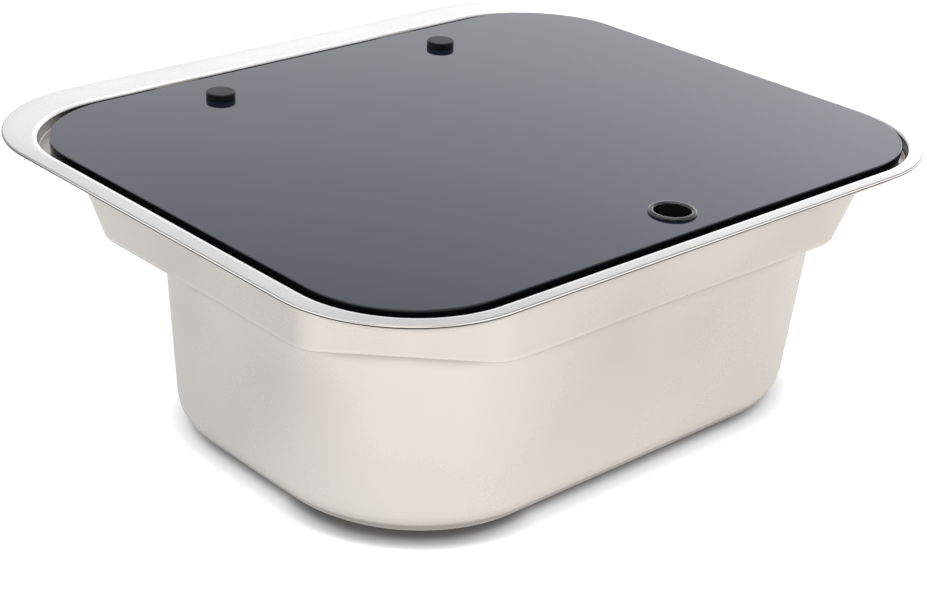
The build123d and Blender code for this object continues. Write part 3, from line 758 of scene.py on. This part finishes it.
for side, hand in ((-1, "left"), (1, "right")):
    place = (side * HINGE_X, BOLT_Y, 0)
    cap = lathe("hinge_cap_" + hand + "_dressed", rounded_profile([
        (CAP_BORE_R, GLASS_TOP, 0), (CAP_R - 0.15, GLASS_TOP, 0.15),
        (CAP_R, GLASS_TOP + 0.4, 0.2), (CAP_R, GLASS_TOP + CAP_HEIGHT, 0.7),
        (0.0, GLASS_TOP + CAP_HEIGHT, 0), (0.0, GLASS_TOP + CAP_HEIGHT - CAP_ROOF, 0),
        (CAP_BORE_R, GLASS_TOP + CAP_HEIGHT - CAP_ROOF, 0.2)]), place)
    weighted(cap)
    dress(cap, CAP_PLASTIC, "lid")
    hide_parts("hinge_cap_" + hand)

CARRIED = {"rest_buffer": RUBBER, "leaf_pad": RUBBER, "glass_bush": NYLON, "hinge_spacers": NYLON,
           "hinge_leaf": HINGE_STEEL, "hinge_bracket": HINGE_STEEL, "lid_bolt": ZINC,
           "clamp_disc": ZINC, "bolt_washer": ZINC, "bolt_nut": ZINC, "hinge_pin": ZINC,
           "pin_clip": ZINC, "bracket_screws": ZINC, "bracket_washers": ZINC,
           "bracket_nuts": ZINC}
for name, finish in CARRIED.items():
    for hand in ("left", "right"):
        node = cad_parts[name + "_" + hand]
        for slot in node.material_slots:
            slot.material = finish


# ------------------------------------------------------------------ floor, light, camera
def mirrored_rays(nodes, links, rays):
    """One for rays that come from metal or glass."""
    return maths(nodes, links, "MAXIMUM", rays.outputs["Is Glossy Ray"],
                 rays.outputs["Is Transmission Ray"])


def floor_material():
    """Pale floor: white where the light is full, a painted shadow at the sink's foot, a warm
    painted glow seen in the steel.
    """
    material = bpy.data.materials.new("pale_floor")
    material.use_nodes = True
    nodes, links = material.node_tree.nodes, material.node_tree.links
    nodes.clear()
    output = nodes.new("ShaderNodeOutputMaterial")
    place = nodes.new("ShaderNodeTexCoord").outputs["Object"]
    split = nodes.new("ShaderNodeSeparateXYZ")
    links.new(place, split.inputs["Vector"])
    in_front = ranged(nodes, links, split.outputs["Y"], -0.14, 0.02, 1.0, 0.0)
    to_right = ranged(nodes, links, split.outputs["X"], -0.14, 0.12, 0.0, 1.0)
    rays = nodes.new("ShaderNodeLightPath")
    mirrored = mirrored_rays(nodes, links, rays)
    hollow = nodes.new("ShaderNodeAmbientOcclusion")
    hollow.inputs["Distance"].default_value = 0.012
    # the shadow's dark core, then its soft fringe; deeper round the near corner
    contact = maths(nodes, links, "ADD",
                    ranged(nodes, links, hollow.outputs["AO"], 0.11, 0.46, 0.0, 0.64),
                    ranged(nodes, links, hollow.outputs["AO"], 0.46, 1.0, 0.0, 0.36))
    from_corner = vector_maths(nodes, links, "DISTANCE", place, (-0.150, -0.125, 0.0),
                               output="Value")
    contact = maths(nodes, links, "POWER", contact,
                    ranged(nodes, links, from_corner, 0.030, 0.078, 4.0, 1.0))
    contact = maths(nodes, links, "MAXIMUM", contact,
                    maths(nodes, links, "MULTIPLY", mirrored, 0.85))
    # painted reflection: seen in the steel, the floor glows warm, bright in front, dimmer to the
    # right and dim at the back
    bounce = mixed(nodes, links, to_right, (0.79, 0.745, 0.703, 1), (0.62, 0.582, 0.543, 1))
    bounce = mixed(nodes, links, in_front, (0.45, 0.44, 0.43, 1), bounce)
    matt = nodes.new("ShaderNodeBsdfDiffuse")
    links.new(mixed(nodes, links, mirrored, (0.27, 0.27, 0.272, 1), (0.36, 0.35, 0.34, 1)),
              matt.inputs["Color"])
    glow = nodes.new("ShaderNodeEmission")
    links.new(mixed(nodes, links, mirrored, (0.88, 0.88, 0.88, 1), bounce), glow.inputs["Color"])
    seen = maths(nodes, links, "MAXIMUM", rays.outputs["Is Camera Ray"], mirrored)
    links.new(maths(nodes, links, "MULTIPLY", seen, contact), glow.inputs["Strength"])
    both = nodes.new("ShaderNodeAddShader")
    links.new(matt.outputs["BSDF"], both.inputs[0])
    links.new(glow.outputs["Emission"], both.inputs[1])
    links.new(both.outputs["Shader"], output.inputs["Surface"])
    return material


FLOOR_REACH, FLOOR_HEIGHT = 6, -0.0002
floor_mesh = bpy.data.meshes.new("floor")
floor_mesh.from_pydata([(x * FLOOR_REACH, y * FLOOR_REACH, FLOOR_HEIGHT)
                        for x, y in ((-1, -1), (1, -1), (1, 1), (-1, 1))], [], [(0, 1, 2, 3)])
floor = bpy.data.objects.new("floor", floor_mesh)
bpy.context.scene.collection.objects.link(floor)
floor_mesh.materials.append(floor_material())


def lamp(name, place, target, size, power, colour=(1, 1, 1)):
    """Soft rectangular lamp that looks at a point."""
    data = bpy.data.lights.new(name, "AREA")
    data.shape = "RECTANGLE"
    data.size, data.size_y = size
    data.energy = power
    data.color = colour
    thing = bpy.data.objects.new(name, data)
    bpy.context.scene.collection.objects.link(thing)
    thing.location = place
    thing.rotation_euler = (Vector(target) - Vector(place)).to_track_quat("-Z", "Y").to_euler()


lamp("overhead", (-0.3, 0.1, 2.3), (0, 0, 0), (2.6, 2.6), 34.0)
lamp("front", (-1.7, -1.9, 1.4), (0, 0, 0.05), (1.6, 1.2), 9.0, (1.0, 0.985, 0.97))


def studio_world():
    """Plain light for matt surfaces; pale walls, a panel and a dim side for shiny ones."""
    world = bpy.data.worlds.new("studio")
    bpy.context.scene.world = world
    world.use_nodes = True
    nodes, links = world.node_tree.nodes, world.node_tree.links
    nodes.clear()
    direction = nodes.new("ShaderNodeTexCoord").outputs["Generated"]

    def towards(axis):
        """How far a direction looks along an axis."""
        return vector_maths(nodes, links, "DOT_PRODUCT", direction, axis, output="Value")

    split = nodes.new("ShaderNodeSeparateXYZ")
    links.new(direction, split.inputs["Vector"])
    up = split.outputs["Z"]
    panel = ranged(nodes, links, towards((0.89, 0.44, -0.10)), 0.76, 0.97, 0.0, 0.84)
    level = maths(nodes, links, "ADD", panel, ranged(nodes, links, up, 0.28, 0.46, 1.12, 0.88))
    level = maths(nodes, links, "ADD", level, ranged(nodes, links, up, 0.06, 0.24, 0.6, 0.0))
    across = towards((0.72, -0.69, 0.0))
    wings = maths(nodes, links, "MULTIPLY", across, across)
    wings = maths(nodes, links, "MINIMUM", maths(nodes, links, "MULTIPLY", wings, 5.0), 0.16)
    level = maths(nodes, links, "MULTIPLY", level, maths(nodes, links, "ADD", wings, 0.94))
    dim = ranged(nodes, links, towards((-0.68, -0.73, 0.05)), 0.60, 0.86, 1.0, 0.15)
    walls = nodes.new("ShaderNodeBackground")
    walls.inputs["Color"].default_value = (0.965, 0.965, 0.99, 1)
    links.new(maths(nodes, links, "MULTIPLY", level, dim), walls.inputs["Strength"])
    plain = nodes.new("ShaderNodeBackground")
    plain.inputs["Color"].default_value = (0.93, 0.94, 0.96, 1)
    plain.inputs["Strength"].default_value = 0.75
    rays = nodes.new("ShaderNodeLightPath")
    seen = maths(nodes, links, "MAXIMUM", rays.outputs["Is Camera Ray"],
                 mirrored_rays(nodes, links, rays))
    choose = nodes.new("ShaderNodeMixShader")
    links.new(seen, choose.inputs[0])
    links.new(plain.outputs["Background"], choose.inputs[1])
    links.new(walls.outputs["Background"], choose.inputs[2])
    links.new(choose.outputs["Shader"], nodes.new("ShaderNodeOutputWorld").inputs["Surface"])


studio_world()

CAMERA_PLACE = (-0.69719, -0.74905, 0.52540)
TURN, TILT, ROLL = (math.radians(v) for v in (-43.03, 25.13, 2.59))
camera_data = bpy.data.cameras.new("camera")
camera_data.lens = 77.3
camera_data.sensor_width = 36.0
camera_data.clip_start, camera_data.clip_end = 0.05, 50.0
camera = bpy.data.objects.new("camera", camera_data)
bpy.context.scene.collection.objects.link(camera)
back = Vector((math.sin(TURN) * math.cos(TILT), -math.cos(TURN) * math.cos(TILT), math.sin(TILT)))
right = (-back).cross(Vector((0, 0, 1))).normalized()
up = right.cross(-back)
right, up = (right * math.cos(ROLL) + up * math.sin(ROLL),
             up * math.cos(ROLL) - right * math.sin(ROLL))
camera.matrix_world = Matrix.Translation(CAMERA_PLACE) @ Matrix(
    (right, up, back)).transposed().to_4x4()
bpy.context.scene.camera = camera

bpy.context.scene.view_settings.view_transform = "Standard"
